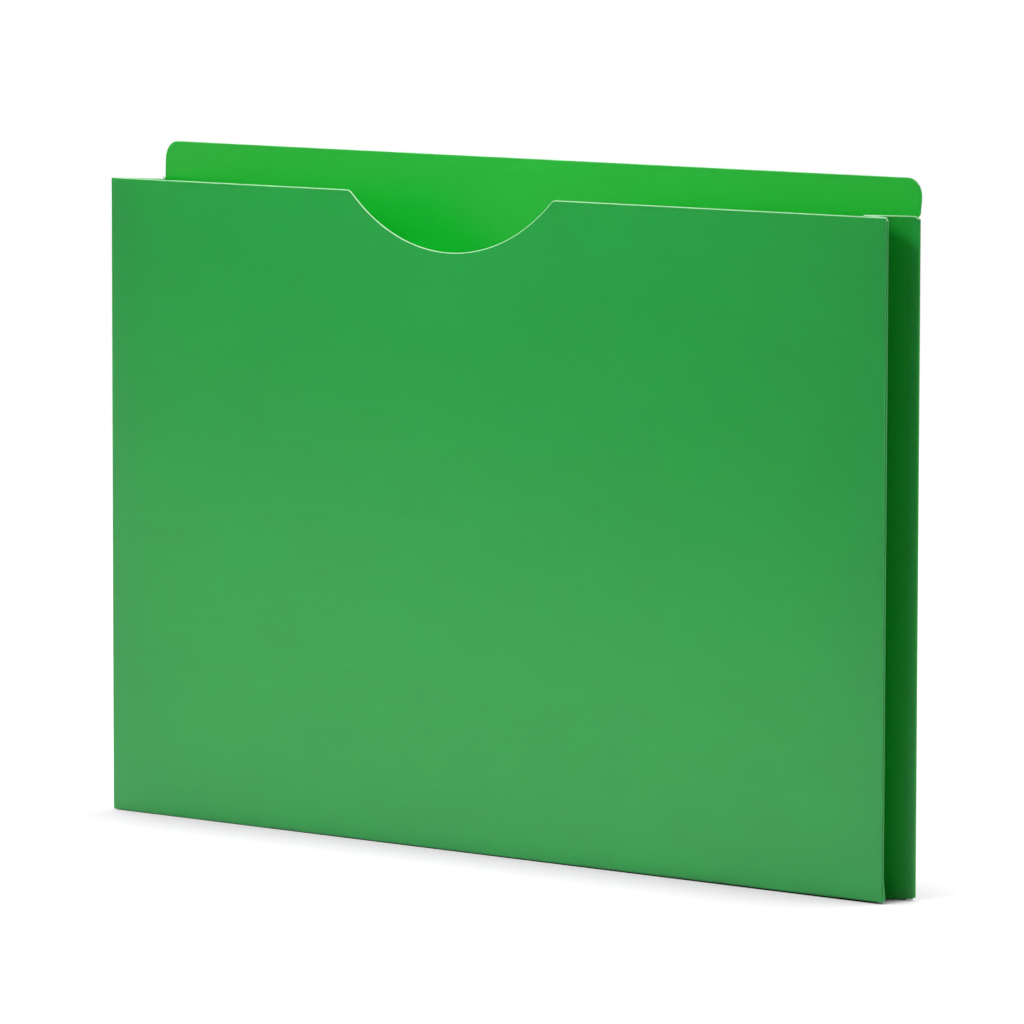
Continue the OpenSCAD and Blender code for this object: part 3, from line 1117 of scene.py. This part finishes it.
# %% [markdown]
# ## Dome and lamps
# The light is soft. A dome, bright at the left and dim at the right, gives the base. A large softbox
# behind the jacket shines through the sheets, so that the tab glows, and a small one in front, above the
# camera's height, has a grid that keeps its light on the jacket. One large lamp in front would be simpler,
# but then the tab would be as dull as the front panel. Camera, mirror and glass rays see plain white
# instead of the dome.

# %% Dome
DOME_BRIGHT, DOME_DIM = 0.65, 0.05
DOME_SIDE = Vector((-0.85, 0.2, 0.5)).normalized()
scene = bpy.context.scene
scene.view_settings.view_transform = "Standard"


def studio_dome():
    world = bpy.data.worlds.new("studio")
    world.use_nodes = True
    tree = world.node_tree
    tree.nodes.clear()
    way = add_node(tree, "ShaderNodeTexCoord").outputs["Generated"]
    toward = add_node(tree, "ShaderNodeVectorMath", {0: way, 1: DOME_SIDE}, operation="DOT_PRODUCT")
    strength = add_node(
        tree, "ShaderNodeMapRange",
        {"Value": toward.outputs["Value"], "From Min": -1.0, "From Max": 1.0,
         "To Min": DOME_DIM, "To Max": DOME_BRIGHT})
    dome = add_node(tree, "ShaderNodeBackground", {"Color": WHITE, "Strength": strength.outputs[0]})
    white = add_node(tree, "ShaderNodeBackground", {"Color": WHITE, "Strength": 1.0})
    seen = seen_directly(tree)
    sky = add_node(tree, "ShaderNodeMixShader", {0: seen, 1: dome.outputs[0], 2: white.outputs[0]})
    add_node(tree, "ShaderNodeOutputWorld", {"Surface": sky.outputs[0]})
    return world


scene.world = studio_dome()
print("dome from", DOME_DIM, "to", DOME_BRIGHT)


# %% Softboxes
def softbox(name, place, aim, width, height, power, spread):
    data = bpy.data.lights.new(name, "AREA")
    data.shape = "RECTANGLE"
    data.spread = math.radians(spread)
    data.size, data.size_y = width, height
    data.energy = power
    lamp = bpy.data.objects.new(name, data)
    lamp.location = place
    lamp.rotation_mode = "QUATERNION"
    lamp.rotation_quaternion = (Vector(aim) - Vector(place)).to_track_quat("-Z", "Y")
    lamp.visible_camera = False
    scene.collection.objects.link(lamp)


softbox(
    "back_softbox", place=(0.3, 1.5, 0.6), aim=(0, 0, 0.2), width=1.6, height=0.8, power=17, spread=180)
softbox(
    "front_softbox", place=(-0.1, -1.3, 1.1), aim=(-0.015, 0, 0.13), width=0.5, height=0.5, power=0.79,
    spread=32)

# %% [markdown]
# ## Dark cards
# Satin plastic mirrors its surroundings softly, and in an all-white room the veil would lie evenly over
# the whole panel. In the photograph it grows towards the foot. A texture could paint that, but it would
# stay on the sheet from every side. Two grey cards in front of the jacket, which only reflections see,
# hold the veil back above, as cards do in a studio. The left card's lower edge slants, because the veil
# reaches higher at the left.

# %% Stand the cards in front of the jacket
CARD_TONE = 0.38
card_finish = new_material("dark_card")
card_light = add_node(card_finish.node_tree, "ShaderNodeEmission", {"Strength": CARD_TONE})
add_node(card_finish.node_tree, "ShaderNodeOutputMaterial", {"Surface": card_light.outputs[0]})


def dark_card(name, start, end, lows, high):
    """An upright card that only reflections see, with a lower edge that may slant."""
    data = bpy.data.meshes.new(name)
    corners = [(*start, lows[0]), (*end, lows[1]), (*end, high), (*start, high)]
    data.from_pydata(corners, [], [(0, 1, 2, 3)])
    data.materials.append(card_finish)
    card = bpy.data.objects.new(name, data)
    scene.collection.objects.link(card)
    card.visible_camera = False
    card.visible_diffuse = False
    card.visible_transmission = False
    card.visible_shadow = False


dark_card("left_card", start=(-0.65, -0.25), end=(0.15, -0.25), lows=(0.13, 0.05), high=0.6)
dark_card("right_card", start=(0.12, -0.5), end=(0.8, -0.1), lows=(0.0, 0.0), high=0.7)
print("made two cards of", card_finish.name)
